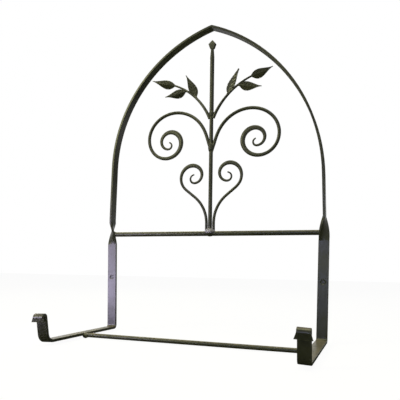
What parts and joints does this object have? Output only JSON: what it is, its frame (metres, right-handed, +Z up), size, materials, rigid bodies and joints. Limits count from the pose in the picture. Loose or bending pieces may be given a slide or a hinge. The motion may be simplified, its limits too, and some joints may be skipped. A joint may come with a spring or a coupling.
{
  "type": "window box bracket",
  "caption": "Forged wall bracket for a window box: pointed arch of flat bar filled with scrolls and leaves, drilled legs, and forward arms with lipped, rolled ends.",
  "frame": {"origin": "on the wall plane at the backs of the legs, midway between the two screw holes", "axes": "+Z up, +Y into the wall, +X to the right seen from the front"},
  "size_m": [0.4736, 0.259, 0.6565],
  "materials": {
    "black_paint": "satin black paint over forged steel",
    "painted_weld": "satin black paint over rough weld metal"
  },
  "bodies": {
    "root": {"frame_bar": "black_paint", "crossbar": "black_paint", "lower_bar": "black_paint", "centre_stem": "black_paint", "large_scroll_left": "black_paint", "large_scroll_right": "black_paint", "small_scroll_left": "black_paint", "small_scroll_right": "black_paint", "leaf_branch_left": "black_paint", "leaf_branch_right": "black_paint", "upper_leaf_left": "black_paint", "upper_leaf_right": "black_paint", "lower_leaf_left": "black_paint", "lower_leaf_right": "black_paint", "base_weld": "painted_weld", "scroll_weld": "painted_weld", "branch_weld": "painted_weld", "crossbar_weld_left": "painted_weld", "crossbar_weld_right": "painted_weld", "lower_bar_weld_left": "painted_weld", "lower_bar_weld_right": "painted_weld"}
  },
  "joints": []
}
